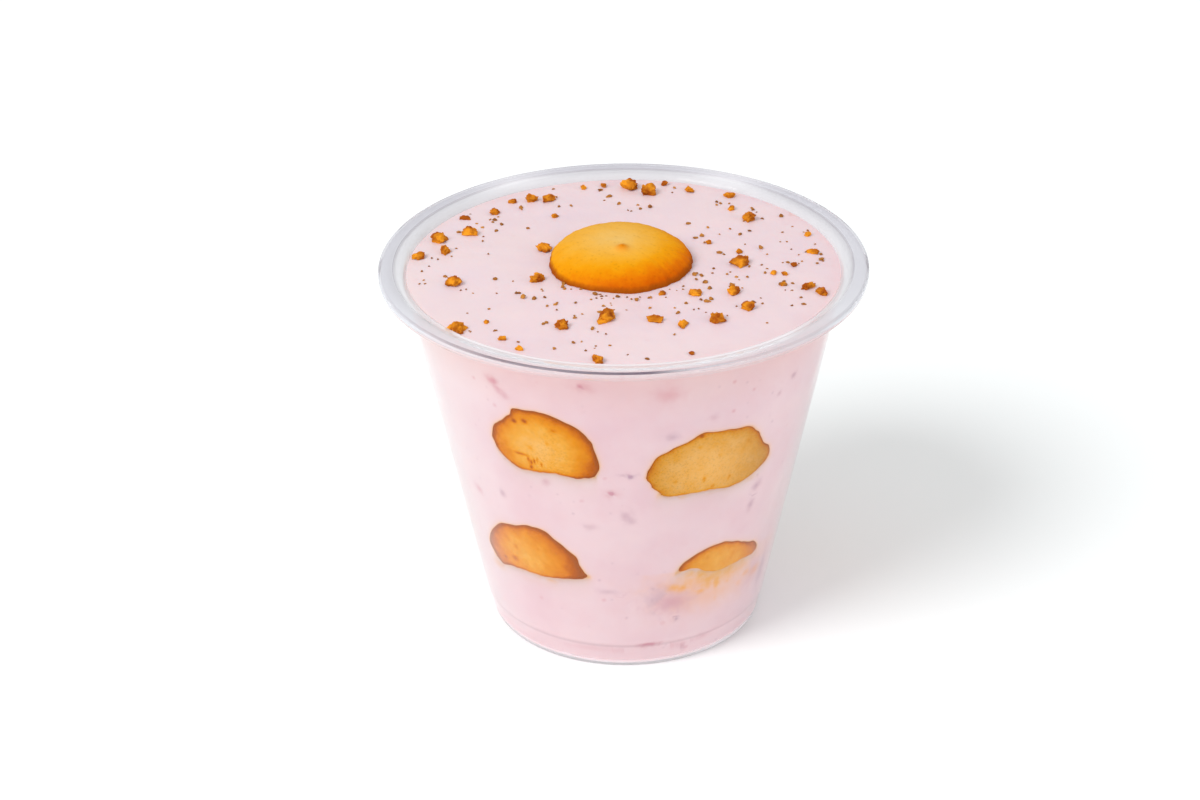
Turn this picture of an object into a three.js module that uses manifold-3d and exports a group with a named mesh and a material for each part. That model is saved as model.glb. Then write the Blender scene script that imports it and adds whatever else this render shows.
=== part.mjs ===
// Cup of strawberry pudding. A clear thin-walled cup is filled with pink pudding. Round wafers
// stand against its wall in an upper and a lower ring, so that each shows its upper half through
// the wall. One more wafer lies half sunk in the middle of the top, with crumbs strewn round it.
// Millimetres, +Z up, the origin in the middle of the foot ring on the table.
import * as THREE from 'three';
import { mergeVertices } from 'three/addons/utils/BufferGeometryUtils.js';
import Module from 'manifold-3d';

const wasm = await Module();
wasm.setup();

// Cup: the wall is a cone, given by its outside radius at the height of the rim and of the table.
const CUP_HEIGHT = 74;
const RIM_RADIUS = 46;
const WALL_RADIUS_RIM = 41.7;
const WALL_RADIUS_TABLE = 26.4;
const WALL_THICKNESS = 0.6;
const WALL_TOP = 72;
const FLARE_RADIUS = 1.2;
const LIP_CREASE = 43.1;
const LIP_STEP = 0.2;
const LIP_CORNER = 0.7;
const LIP_DROP = 1.6;
const FLOOR_HEIGHT = 3;
const FLOOR_RADIUS = 21;
const FOOT_RING_INSIDE = 22.6;
const HEEL_RADIUS = 1.5;
const FOOT_LINE_HEIGHT = 5.4;
const FOOT_LINE_STEP = 0.2;
const CUP_SEGMENTS = 54;

// Pudding: filled almost to the brim, a little higher in the middle.
const GAP = 0.3;
const PUDDING_EDGE_HEIGHT = 72.4;
const PUDDING_CROWN = 0.8;
const PUDDING_SHOULDER = 0.6;
const PUDDING_WAVE = 0.12;

// Wafers: round, with a flat back and a domed face. The dome's power is its roundness: 2 is an
// ellipse, and more is flatter with steeper sides, as on the wafers that have gone soft in the
// pudding and are pressed against the wall.
const WAFER_SEGMENTS = 24;
const DOME_STEPS = 4;
const TOP_DOME = { height: 4.6, power: 2.2, base: 3 };
const RING_DOME = { height: 2.6, power: 8, base: 5 };
const WAFER_LEAN = THREE.MathUtils.degToRad(10);
const TOP_WAFER_RADIUS = 13.4;
const TOP_WAFER_CENTRE = new THREE.Vector2(-0.6, 0.6);
const TOP_WAFER_TILT = THREE.MathUtils.degToRad(2);

// Each wafer of a ring: its azimuth from the front towards +X, its centre's height, its radius, and
// how far above or below its centre the pudding begins to cover it.
const UPPER_RING = [
  { azimuth: -24.6, height: 49, radius: 11.5, cover: -3 },
  { azimuth: 26.8, height: 43, radius: 13.4, cover: -2.2 },
  { azimuth: 112, height: 46.5, radius: 12.2, cover: -2.5 },
  { azimuth: 180, height: 48.5, radius: 11.8, cover: -0.5 },
  { azimuth: 248, height: 45, radius: 12.6, cover: -2 },
];
const LOWER_RING = [
  { azimuth: -35.8, height: 20.5, radius: 12, cover: -1.6 },
  { azimuth: 36.6, height: 16.8, radius: 11.2, cover: 3.2 },
  { azimuth: 111, height: 20, radius: 11.6, cover: 0.5 },
  { azimuth: 183, height: 18.5, radius: 11.4, cover: -1.5 },
  { azimuth: 255, height: 20.5, radius: 11.9, cover: 1 },
];

// The larger crumbs on top, laid by hand as [x, y, width]. The fine ones are too small for solids.
const CRUMBS = [
  [-35, 12.5, 3.6], [-29.5, 15.5, 2.8], [-34, 7, 2.4], [-37.5, 4, 2.2],
  [-17.5, 31, 2.4], [-14.5, 30.5, 2.4], [-21.5, 30, 1.8], [-25, 25, 1.8],
  [1.5, 36.5, 3.2], [5.5, 33.5, 3.4], [13.5, 35, 1.8], [21.5, 31.5, 2],
  [24.5, 20, 2.7], [22, -0.5, 3.2], [20, -12.5, 2.6], [22.5, -19, 2.5],
  [34, -10, 2], [36.5, -12, 2], [36, 5, 1.9], [16.5, -23.5, 2.9],
  [10.5, -25.5, 1.8], [5.5, -23.5, 2.2], [-3.5, -22.5, 3.1], [-11.5, -25, 2.4],
  [-5, -38, 2.5], [-31.5, -7, 2.7], [-29.5, -25, 3], [-15.8, -6.5, 2.6],
];

// A repeatable random number from 0 to 1.
let seed = 41;
function random() {
  seed = (seed * 1664525 + 1013904223) % 4294967296;
  return seed / 4294967296;
}

// Outside radius of the cone that the wall follows.
function wallRadius(z) {
  return THREE.MathUtils.mapLinear(z, 0, CUP_HEIGHT, WALL_RADIUS_TABLE, WALL_RADIUS_RIM);
}

// Radius that the filling keeps inside the wall.
function fillRadius(z) {
  return wallRadius(z) - WALL_THICKNESS - GAP;
}

// Points of a circular arc in a profile, from one angle in degrees to another.
function arc(centreR, centreZ, radius, from, to, steps) {
  const points = [];
  for (let i = 0; i <= steps; i += 1) {
    const angle = THREE.MathUtils.degToRad(THREE.MathUtils.lerp(from, to, i / steps));
    points.push(new THREE.Vector2(centreR + radius * Math.cos(angle), centreZ + radius * Math.sin(angle)));
  }
  return points;
}

// A profile turned about the upright axis, with the vertices of its seam and poles merged.
function turned(profile, segments) {
  const lathe = new THREE.LatheGeometry(profile, segments);
  lathe.rotateX(Math.PI / 2);
  return merged(lathe);
}

// A geometry with shared vertices and without the empty faces that merging leaves at a pole.
function merged(geometry) {
  geometry.deleteAttribute('normal');
  geometry.deleteAttribute('uv');
  const whole = mergeVertices(geometry);
  const faces = [];
  for (let i = 0; i < whole.index.count; i += 3) {
    const [a, b, c] = [whole.index.getX(i), whole.index.getX(i + 1), whole.index.getX(i + 2)];
    if (a !== b && b !== c && c !== a) {
      faces.push(a, b, c);
    }
  }
  whole.setIndex(faces);
  return whole;
}

// The same shape with every vertex moved by a function.
function reshaped(geometry, move) {
  const place = geometry.attributes.position;
  const point = new THREE.Vector3();
  for (let i = 0; i < place.count; i += 1) {
    move(point.fromBufferAttribute(place, i));
    place.setXYZ(i, point.x, point.y, point.z);
  }
  return geometry;
}

function toSolid(geometry) {
  const vertProperties = new Float32Array(geometry.attributes.position.array);
  const triVerts = new Uint32Array(geometry.index.array);
  return new wasm.Manifold(new wasm.Mesh({ numProp: 3, vertProperties, triVerts }));
}

function toGeometry(solid) {
  const mesh = solid.getMesh();
  const geometry = new THREE.BufferGeometry();
  geometry.setAttribute('position', new THREE.BufferAttribute(mesh.vertProperties, 3));
  geometry.setIndex(new THREE.BufferAttribute(mesh.triVerts, 1));
  return geometry;
}

// Cup: the underside of the raised floor, the foot ring, the wall with the fine step of its foot
// line, the lip that is bent outwards, creased and turned down at its edge, and back down the
// inside.
function cupGeometry() {
  const slope = THREE.MathUtils.radToDeg(Math.atan2(WALL_RADIUS_RIM - WALL_RADIUS_TABLE, CUP_HEIGHT));
  const heelCentre = wallRadius(HEEL_RADIUS) - FOOT_LINE_STEP - HEEL_RADIUS;
  const flareCentre = wallRadius(WALL_TOP) + FLARE_RADIUS;
  const lipUnder = CUP_HEIGHT - WALL_THICKNESS;
  const profile = [
    new THREE.Vector2(0, FLOOR_HEIGHT),
    new THREE.Vector2(FLOOR_RADIUS, FLOOR_HEIGHT),
    new THREE.Vector2(FOOT_RING_INSIDE - 0.4, FLOOR_HEIGHT - 0.6),
    new THREE.Vector2(FOOT_RING_INSIDE, 0.5),
    new THREE.Vector2(FOOT_RING_INSIDE + 0.5, 0),
    ...arc(heelCentre, HEEL_RADIUS, HEEL_RADIUS, -90, -slope, 3),
    new THREE.Vector2(wallRadius(FOOT_LINE_HEIGHT - 0.2) - FOOT_LINE_STEP, FOOT_LINE_HEIGHT - 0.2),
    new THREE.Vector2(wallRadius(FOOT_LINE_HEIGHT), FOOT_LINE_HEIGHT),
    ...arc(flareCentre, WALL_TOP, FLARE_RADIUS, 180 - slope, 90, 3),
    new THREE.Vector2(LIP_CREASE, lipUnder - LIP_STEP),
    new THREE.Vector2(LIP_CREASE + LIP_STEP, lipUnder),
    new THREE.Vector2(RIM_RADIUS - WALL_THICKNESS, lipUnder),
    new THREE.Vector2(RIM_RADIUS - WALL_THICKNESS, CUP_HEIGHT - LIP_DROP),
    new THREE.Vector2(RIM_RADIUS, CUP_HEIGHT - LIP_DROP),
    ...arc(RIM_RADIUS - LIP_CORNER, CUP_HEIGHT - LIP_CORNER, LIP_CORNER, 0, 90, 2),
    new THREE.Vector2(LIP_CREASE + LIP_STEP, CUP_HEIGHT),
    new THREE.Vector2(LIP_CREASE, CUP_HEIGHT - LIP_STEP),
    ...arc(flareCentre, WALL_TOP, FLARE_RADIUS + WALL_THICKNESS, 90, 180 - slope, 4),
    ...cupInside(0),
  ];
  return turned(profile, CUP_SEGMENTS);
}

// Inside of the cup from the foot line down to the middle of the floor, or a surface that keeps a
// clearance above it.
function cupInside(clearance) {
  const inset = WALL_THICKNESS + clearance;
  const floor = FLOOR_HEIGHT + inset;
  const trough = inset + 0.1;
  const outer = wallRadius(trough + 1) - FOOT_LINE_STEP - inset;
  const inner = FOOT_RING_INSIDE + inset;
  return [
    new THREE.Vector2(wallRadius(FOOT_LINE_HEIGHT + 0.4) - inset, FOOT_LINE_HEIGHT + 0.4),
    new THREE.Vector2(wallRadius(FOOT_LINE_HEIGHT) - FOOT_LINE_STEP - inset, FOOT_LINE_HEIGHT),
    new THREE.Vector2(outer, trough + 1),
    new THREE.Vector2(outer - 0.5, trough),
    new THREE.Vector2(inner + 0.4, trough),
    new THREE.Vector2(inner, trough + 0.6),
    new THREE.Vector2(inner - 0.3, floor - 0.4),
    new THREE.Vector2(FLOOR_RADIUS + 0.2, floor),
    new THREE.Vector2(0, floor),
  ];
}

// Height of the pudding's top: a low crown with the slow waves that the spoon left.
function topHeight(x, y) {
  const r = Math.hypot(x, y) / fillRadius(PUDDING_EDGE_HEIGHT);
  const waves = Math.sin(0.21 * x + 0.9) * Math.cos(0.17 * y - 0.4) + 0.6 * Math.sin(0.13 * x - 0.25 * y);
  return PUDDING_EDGE_HEIGHT + PUDDING_CROWN * (1 - r * r) + PUDDING_WAVE * waves * (1 - r ** 6);
}

// Pudding before anything is pushed into it.
function puddingBody() {
  const edge = fillRadius(PUDDING_EDGE_HEIGHT);
  const shoulder = PUDDING_EDGE_HEIGHT - PUDDING_SHOULDER;
  const rings = [0.95, 0.82, 0.66, 0.5, 0.34, 0.17, 0];
  const profile = [
    ...cupInside(GAP).reverse(),
    new THREE.Vector2(fillRadius(shoulder), shoulder),
    new THREE.Vector2(edge - PUDDING_SHOULDER / 2, PUDDING_EDGE_HEIGHT),
    ...rings.map((part) => new THREE.Vector2(edge * part, PUDDING_EDGE_HEIGHT)),
  ];
  return reshaped(turned(profile, CUP_SEGMENTS), (point) => {
    if (point.z > shoulder + PUDDING_SHOULDER / 2) {
      point.z = topHeight(point.x, point.y);
    }
  });
}

// A wafer lying flat, face up, with its widest line at z = 0 and its back below it. A swell makes
// it larger all over by that much, as the hollow that it is pressed into.
function waferGeometry(radius, dome, swell) {
  const r = radius + swell;
  const profile = [
    new THREE.Vector2(0, -dome.base - swell),
    new THREE.Vector2(r * 0.93, -dome.base - swell),
    new THREE.Vector2(r * 0.985, -dome.base * 0.7),
  ];
  for (let i = 0; i <= DOME_STEPS; i += 1) {
    const angle = (Math.PI / 2) * (i / DOME_STEPS);
    const out = i < DOME_STEPS ? Math.cos(angle) ** (2 / dome.power) : 0;
    const up = Math.sin(angle) ** (2 / dome.power);
    profile.push(new THREE.Vector2(r * out, (dome.height + swell) * up));
  }
  return turned(profile, WAFER_SEGMENTS);
}

// A wafer of a ring. It leans, so that its upper part is pressed flat against the wall and the
// lower part stands clear of it under the pudding. Its hollow isn't stopped by the wall.
function ringWaferGeometry(wafer, swell) {
  const azimuth = THREE.MathUtils.degToRad(wafer.azimuth);
  const middleRadius = fillRadius(wafer.height);
  const isHollow = swell > 0;
  return reshaped(waferGeometry(wafer.radius, RING_DOME, swell), (point) => {
    const along = point.x * wobble(point, wafer.azimuth);
    const up = point.y * wobble(point, wafer.azimuth);
    const leaning = RING_DOME.height - point.z - (up - wafer.cover) * Math.tan(WAFER_LEAN);
    const depth = isHollow ? leaning : Math.max(leaning, 0);
    const angle = azimuth + along / middleRadius;
    const z = wafer.height + up;
    const r = fillRadius(z) - depth;
    point.set(r * Math.sin(angle), -r * Math.cos(angle), z);
  });
}

// How far a baked wafer's outline strays from a circle, as a factor.
function wobble(point, turn) {
  const angle = Math.atan2(point.y, point.x) + turn;
  return 1 + 0.025 * Math.sin(2 * angle) + 0.02 * Math.sin(3 * angle + 1);
}

// The wafer on top, face up, sunk into the pudding and tipped a little to the front.
function topWaferGeometry(swell) {
  const geometry = reshaped(waferGeometry(TOP_WAFER_RADIUS, TOP_DOME, swell), (point) => {
    const round = 1 + 0.012 * Math.sin(3 * Math.atan2(point.y, point.x) + 0.5);
    point.set(point.x * round, point.y * round, point.z);
  });
  const { x, y } = TOP_WAFER_CENTRE;
  geometry.rotateX(TOP_WAFER_TILT);
  geometry.translate(x, y, topHeight(x, y));
  return geometry;
}

// A crumb: an uneven lump, a third of it sunk.
function crumbGeometry([x, y, width]) {
  const lump = merged(new THREE.IcosahedronGeometry(width / 2, 0));
  reshaped(lump, (point) => point.multiplyScalar(0.85 + 0.35 * random()));
  lump.scale(1, 0.85, 0.7);
  lump.rotateZ(2 * Math.PI * random());
  lump.translate(x, y, topHeight(x, y) + width * 0.1);
  return lump;
}

// Pudding with the wafers' hollows pressed into it and the crumbs stuck on top.
function puddingGeometry(ringWafers) {
  let solid = toSolid(puddingBody());
  for (const wafer of ringWafers) {
    solid = solid.subtract(toSolid(ringWaferGeometry(wafer, GAP)));
  }
  solid = solid.subtract(toSolid(topWaferGeometry(GAP)));
  for (const crumb of CRUMBS) {
    solid = solid.add(toSolid(crumbGeometry(crumb)));
  }
  return toGeometry(solid);
}

function clearPlastic() {
  return new THREE.MeshStandardMaterial({
    color: 0xe9ebf0, roughness: 0.08, metalness: 0, transparent: true, opacity: 0.3,
  });
}

function pinkPudding() {
  return new THREE.MeshStandardMaterial({ color: 0xf0d3d8, roughness: 0.35, metalness: 0 });
}

function bakedWafer() {
  return new THREE.MeshStandardMaterial({ color: 0xe5a04a, roughness: 0.75, metalness: 0 });
}

function namedMesh(name, geometry, material) {
  const mesh = new THREE.Mesh(geometry, material);
  mesh.name = name;
  return mesh;
}

function ring(name, wafers) {
  const group = new THREE.Group();
  wafers.forEach((wafer, i) => {
    group.add(namedMesh(`${name}_${i + 1}`, ringWaferGeometry(wafer, 0), bakedWafer()));
  });
  return group;
}

const puddingCup = new THREE.Group();
puddingCup.add(namedMesh('cup', cupGeometry(), clearPlastic()));
puddingCup.add(namedMesh('pudding', puddingGeometry([...UPPER_RING, ...LOWER_RING]), pinkPudding()));
puddingCup.add(ring('wafer_upper', UPPER_RING));
puddingCup.add(ring('wafer_lower', LOWER_RING));
puddingCup.add(namedMesh('wafer_top', topWaferGeometry(0), bakedWafer()));

export default puddingCup;
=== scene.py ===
# Cup of strawberry pudding: a clear cup filled with pink pudding, round wafers standing against its
# wall in two rings, one more half sunk on top, and crumbs strewn over it. Metres, +Z up.
import math
import random

import bpy
import numpy as np
from mathutils import Matrix, Vector, noise


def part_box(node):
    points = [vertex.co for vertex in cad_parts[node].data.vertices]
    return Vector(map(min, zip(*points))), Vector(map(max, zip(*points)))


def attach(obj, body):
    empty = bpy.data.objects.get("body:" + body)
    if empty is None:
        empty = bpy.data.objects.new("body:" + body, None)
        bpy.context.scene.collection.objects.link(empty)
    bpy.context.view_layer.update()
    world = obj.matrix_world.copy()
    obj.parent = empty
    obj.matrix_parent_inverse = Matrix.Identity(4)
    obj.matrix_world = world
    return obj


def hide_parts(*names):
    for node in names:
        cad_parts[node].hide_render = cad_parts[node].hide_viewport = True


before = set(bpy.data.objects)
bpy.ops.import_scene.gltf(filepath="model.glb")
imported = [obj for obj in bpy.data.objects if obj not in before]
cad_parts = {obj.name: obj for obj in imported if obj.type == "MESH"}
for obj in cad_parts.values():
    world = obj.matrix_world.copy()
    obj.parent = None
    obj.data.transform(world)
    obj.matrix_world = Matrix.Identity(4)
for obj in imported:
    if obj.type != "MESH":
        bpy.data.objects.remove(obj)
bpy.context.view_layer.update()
MM = 0.001


# Cup: one sheet of clear plastic drawn hot over a mould. The wall is a plain cone, with a fine
# step for the foot line, a floor that stands clear of the table on a ring, and a broad lip that is
# bent outwards, creased, and turned down at its edge. The lip is a little hazy. The heel's white is
# a painted highlight, and the lip carries painted highlights behind and painted shade lines.
cup_low, cup_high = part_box("cup")
RIM_RADIUS = cup_high[1]
CUP_HEIGHT = cup_high[2]
WALL_RADIUS_RIM = 41.7 * MM
WALL_RADIUS_TABLE = 26.4 * MM
WALL_THICKNESS = 0.6 * MM
NEAR = 0.02 * MM
WALL_TOP = 72 * MM
FLARE_RADIUS = 1.2 * MM
LIP_CREASE = 43.1 * MM
LIP_STEP = 0.2 * MM
LIP_CORNER = 0.7 * MM
LIP_DROP = 1.6 * MM
FLOOR_HEIGHT = 3 * MM
FLOOR_RADIUS = 21 * MM
FOOT_RING_INSIDE = 22.6 * MM
HEEL_TOP = 2.2 * MM
HEEL_RADIUS = 1.5 * MM
FOOT_LINE_HEIGHT = 5.4 * MM
FOOT_LINE_STEP = 0.2 * MM
WALL_SLOPE = math.degrees(math.atan2(WALL_RADIUS_RIM - WALL_RADIUS_TABLE, CUP_HEIGHT))
CUP_STEPS = 192
CUP_IOR = 1.18
CUP_TINT = (0.985, 0.985, 1, 1)
LAMPLIGHT_TINT = (0.97, 0.97, 0.98, 1)
HAZE_GREY = (0.585, 0.58, 0.625, 1)
BEND_MILK = (0.50, 0.485, 0.52, 1)
# Painted highlight: a whiter gleam on the bend and lip behind, and painted light on the clear bend in
# front.
PAINTED_GLEAM_WHITE = (0.84, 0.83, 0.86, 1)
# Painted highlight on the heel, and painted light over its dark edge on the table.
HEEL_PAINTED_HIGHLIGHT = (0.92, 0.90, 0.93, 1)
# Painted shade: dark lines at the lip's corner in front and at its crease all round.
PAINTED_SHADE_LINE_GREY = (0.12, 0.085, 0.115, 1)
# Haze and milk are the sheet's cloudiness; gleam and heel are painted highlights, line is painted shade.
CUP_MARKS = (
    ("haze", HAZE_GREY, 0.6), ("milk", BEND_MILK, 0.85), ("gleam", PAINTED_GLEAM_WHITE, 0.8),
    ("heel", HEEL_PAINTED_HIGHLIGHT, 0.7), ("line", PAINTED_SHADE_LINE_GREY, 0.62),
)
SHADE_LINE_TURNS = (-180, -75, -50, -30, -15, 5, 16, 45, 180)
SHADE_LINE_STRENGTHS = (0.12, 0.12, 0.3, 0.85, 0.9, 1, 0.35, 0.15, 0.12)
MILK_TURNS = (-180, -120, -75, -40, 40, 75, 120, 180)
MILK_STRENGTHS = (1, 0.95, 0.7, 0.15, 0.15, 0.8, 1, 1)
HEEL_HIGHLIGHT_TURNS = (0, 25, 40, 62, 75)
HEEL_HIGHLIGHT_STRENGTHS = (0.7, 0.7, 1, 1, 0.5)
PAINTED_GLEAM_TURN = 150
PAINTED_GLEAM_WIDTH = 11
LIP_HAZE = 0.89
HAZE_LOST_IN_FRONT = 0.64
HAZE_ADDED_BEHIND = 0.11
EDGE_HAZE = 0.3
MILK_AT_WALL = 0.75
PAINTED_GLEAM_ON_LIP = 0.5
PAINTED_LIGHT_WITHOUT_MILK = 1.15
CLEAR_MILK = 0.6
CREASE_SHADE_LINE = 0.25


def wall_radius(z):
    """Outside radius of the cone that the wall follows."""
    return WALL_RADIUS_TABLE + (WALL_RADIUS_RIM - WALL_RADIUS_TABLE) * z / CUP_HEIGHT


def arc(r, z, radius, start, end, steps):
    """A round stretch of a profile, from one angle in degrees to another."""
    angles = [math.radians(start + (end - start) * i / steps) for i in range(steps + 1)]
    return [(r + radius * math.cos(a), z + radius * math.sin(a)) for a in angles]


def cup_inside(inset, steps):
    """Profile of the inside, from above the foot line to the middle of the floor."""
    floor = FLOOR_HEIGHT + inset
    trough = inset + 1 * MM
    outer = wall_radius(trough) - FOOT_LINE_STEP - inset
    inner = FOOT_RING_INSIDE + inset
    step_up = FOOT_LINE_HEIGHT + 0.4 * MM
    return [
        (wall_radius(step_up) - inset, step_up),
        (wall_radius(FOOT_LINE_HEIGHT) - FOOT_LINE_STEP - inset, FOOT_LINE_HEIGHT),
        *arc(outer - 0.8 * MM, trough, 0.8 * MM, -WALL_SLOPE, -90, steps),
        *arc(inner + 0.5 * MM, trough - 0.3 * MM, 0.5 * MM, -90, -180, steps),
        (inner - 0.2 * MM, floor - 0.7 * MM),
        *arc(FLOOR_RADIUS, floor - 1.2 * MM, 1.2 * MM, 30, 90, steps),
        (0, floor),
    ]


def cup_profile():
    """The underside, the foot ring, the wall, the lip with its edge, and back down the inside."""
    heel = wall_radius(HEEL_RADIUS) - FOOT_LINE_STEP - HEEL_RADIUS
    flare = wall_radius(WALL_TOP) + FLARE_RADIUS
    below_step = FOOT_LINE_HEIGHT - 0.2 * MM
    lip_under = CUP_HEIGHT - WALL_THICKNESS
    corner_r = RIM_RADIUS - LIP_CORNER
    corner_z = CUP_HEIGHT - LIP_CORNER
    half = WALL_THICKNESS / 2
    return [
        (0, FLOOR_HEIGHT),
        *arc(FLOOR_RADIUS, FLOOR_HEIGHT - 0.6 * MM, 0.6 * MM, 90, 30, 3),
        *arc(FOOT_RING_INSIDE + 0.5 * MM, 0.5 * MM, 0.5 * MM, 180, 270, 4),
        *arc(heel, HEEL_RADIUS, HEEL_RADIUS, -90, -WALL_SLOPE, 6),
        (wall_radius(HEEL_TOP) - FOOT_LINE_STEP, HEEL_TOP),
        (wall_radius(below_step) - FOOT_LINE_STEP, below_step),
        (wall_radius(FOOT_LINE_HEIGHT), FOOT_LINE_HEIGHT),
        *arc(flare, WALL_TOP, FLARE_RADIUS, 180 - WALL_SLOPE, 90, 8),
        (LIP_CREASE, lip_under - LIP_STEP),
        (LIP_CREASE + LIP_STEP, lip_under),
        *arc(corner_r, corner_z, LIP_CORNER - WALL_THICKNESS, 90, 0, 3),
        *arc(RIM_RADIUS - half, CUP_HEIGHT - LIP_DROP + half, half, 180, 360, 8),
        *arc(corner_r, corner_z, LIP_CORNER, 0, 90, 10),
        (LIP_CREASE + LIP_STEP, CUP_HEIGHT),
        (LIP_CREASE, CUP_HEIGHT - LIP_STEP),
        *arc(flare, WALL_TOP, FLARE_RADIUS + WALL_THICKNESS, 90, 180 - WALL_SLOPE, 8),
        *cup_inside(WALL_THICKNESS, 4),
    ]


def spun(name, profile, steps):
    """A new piece: its profile drawn point by point beside the axis, then spun round it."""
    bpy.ops.object.select_all(action="DESELECT")
    bpy.ops.mesh.primitive_plane_add(size=MM, location=(profile[0][0], 0, profile[0][1]))
    piece = bpy.context.object
    piece.name = name
    bpy.ops.object.transform_apply(location=True, rotation=True, scale=True)
    bpy.ops.object.mode_set(mode="EDIT")
    bpy.ops.mesh.merge(type="CENTER")
    for (r, z), (next_r, next_z) in zip(profile, profile[1:]):
        bpy.ops.mesh.extrude_vertices_move(
            TRANSFORM_OT_translate={"value": (next_r - r, 0, next_z - z)}
        )
    bpy.ops.mesh.select_all(action="SELECT")
    bpy.ops.mesh.spin(steps=steps, angle=math.tau, center=(0, 0, 0), axis=(0, 0, 1))
    bpy.ops.mesh.select_all(action="SELECT")
    bpy.ops.mesh.remove_doubles(threshold=0.002 * MM)
    bpy.ops.mesh.normals_make_consistent(inside=False)
    bpy.ops.object.mode_set(mode="OBJECT")
    bpy.ops.object.shade_smooth()
    return piece


def node(tree, kind, settings=None, **inputs):
    """A node with its settings, and its inputs by name, or by number as i0, i1: values or links."""
    made = tree.nodes.new("ShaderNode" + kind)
    for key, value in (settings or {}).items():
        setattr(made, key, value)
    for key, value in inputs.items():
        numbered = key[0] == "i" and key[1:].isdigit()
        socket = made.inputs[int(key[1:]) if numbered else key.replace("_", " ")]
        if isinstance(value, bpy.types.NodeSocket):
            tree.links.new(value, socket)
        else:
            socket.default_value = value
    return made


def maths(tree, operation, *values, clamp=False):
    """One sum on one, two or three values or links."""
    numbered = {f"i{place}": value for place, value in enumerate(values)}
    return node(tree, "Math", {"operation": operation, "use_clamp": clamp}, **numbered).outputs[0]


def ranged(tree, value, low, high, to_low=0.0, to_high=1.0):
    """Carries the stretch from low to high over to another stretch, and stops at its ends."""
    return node(tree, "MapRange", Value=value, i1=low, i2=high, i3=to_low, i4=to_high).outputs[0]


def blend(tree, share, first, second, kind="MIX"):
    """Two colours mixed: the share of the second is a number or a link."""
    settings = {"data_type": "RGBA", "blend_type": kind}
    return node(tree, "Mix", settings, i0=share, i6=first, i7=second).outputs[2]


def kept(tree, name):
    """The number kept for each vertex under this name."""
    return node(tree, "Attribute", {"attribute_name": name}).outputs["Fac"]


def roughen(tree, shader, texture, strength, distance):
    """Gives the skin the fine relief of a texture."""
    bump = node(tree, "Bump", Strength=strength, Distance=distance, Height=texture.outputs["Fac"])
    tree.links.new(bump.outputs["Normal"], shader.inputs["Normal"])


def new_material(name, roughness):
    """A node material: its tree, its Principled shader and the place on the object."""
    material = bpy.data.materials.new(name)
    material.use_nodes = True
    tree = material.node_tree
    shader = tree.nodes["Principled BSDF"]
    shader.inputs["Roughness"].default_value = roughness
    place = node(tree, "TexCoord").outputs["Object"]
    return material, tree, shader, place


def keep_numbers(piece, name, values):
    """Keeps one number for each vertex, for the material to read."""
    piece.data.attributes.new(name, "FLOAT", "POINT").data.foreach_set("value", values)


def mark_haze_and_painted_light(piece):
    """Where the drawn sheet is hazy: over the lip, least in front. The heel is painted white: a painted
    highlight, strongest on the right, and painted light over its dark edge on the table. The corner of
    the lip shows a painted shade line in front, and its crease a faint one all round. The bend from
    the lip down into the cup is milky, with a painted highlight in two places behind, and painted
    light where it is clear in front, lifting the shade under the lip."""
    marks = {name: [] for name, _, _ in CUP_MARKS}
    bend = wall_radius(WALL_TOP) + FLARE_RADIUS
    bend_start = bend - FLARE_RADIUS - WALL_THICKNESS
    corner_r = RIM_RADIUS - LIP_CORNER
    corner_z = CUP_HEIGHT - LIP_CORNER
    for vertex in piece.data.vertices:
        x, y, z = vertex.co
        r = math.hypot(x, y)
        azimuth = math.degrees(math.atan2(x, -y))
        front = max(-y / max(r, MM), 0)
        back = max(y / max(r, MM), 0)
        on_top = z > corner_z and r > LIP_CREASE
        on_edge = r > RIM_RADIUS - 0.05 * MM
        hazy = on_top * (LIP_HAZE - HAZE_LOST_IN_FRONT * front**2 + HAZE_ADDED_BEHIND * back)
        marks["haze"].append(min(hazy + on_edge * EDGE_HAZE * (1 - front / 2), 1))
        inside = math.hypot(r - bend, z - WALL_TOP) > FLARE_RADIUS + WALL_THICKNESS / 2
        on_bend = inside and z > WALL_TOP + 0.3 * MM and r < LIP_CREASE + NEAR
        outward = max(r - bend_start, 0) / (LIP_CREASE - bend_start)
        milky = np.interp(azimuth, MILK_TURNS, MILK_STRENGTHS)
        marks["milk"].append(on_bend * (MILK_AT_WALL + (1 - MILK_AT_WALL) * outward) * milky)
        # Painted highlight on the bend and lip behind, and painted light where the bend is clear in front,
        # lifting the shade under the lip.
        gleaming = math.exp(-(((abs(azimuth) - PAINTED_GLEAM_TURN) / PAINTED_GLEAM_WIDTH) ** 2))
        by_bend = inside and z > WALL_TOP - 0.2 * MM and r < LIP_CREASE + 0.8 * MM
        clear = by_bend * PAINTED_LIGHT_WITHOUT_MILK * max(1 - milky / CLEAR_MILK, 0)
        marks["gleam"].append(max(on_bend * outward * gleaming, on_top * PAINTED_GLEAM_ON_LIP * gleaming, clear))
        # Painted highlight on the heel, strongest on the right, and painted light over its dark edge on
        # the table in front.
        on_heel = z < HEEL_TOP - 0.1 * MM and r > FOOT_RING_INSIDE + MM
        marks["heel"].append(on_heel * np.interp(azimuth, HEEL_HIGHLIGHT_TURNS, HEEL_HIGHLIGHT_STRENGTHS))
        # Painted shade lines at the lip's corner, mostly in front, and at its crease all round.
        from_corner = math.hypot(r - corner_r, z - corner_z)
        turned = math.atan2(z - corner_z, r - corner_r)
        at_corner = abs(from_corner - LIP_CORNER) < NEAR and 0.6 < turned < 1.4
        at_crease = abs(r - LIP_CREASE) < NEAR and z > CUP_HEIGHT - LIP_STEP - NEAR
        shade_lined = at_corner * np.interp(azimuth, SHADE_LINE_TURNS, SHADE_LINE_STRENGTHS)
        marks["line"].append(shade_lined + at_crease * CREASE_SHADE_LINE)
    for name, values in marks.items():
        keep_numbers(piece, name, values)


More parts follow.
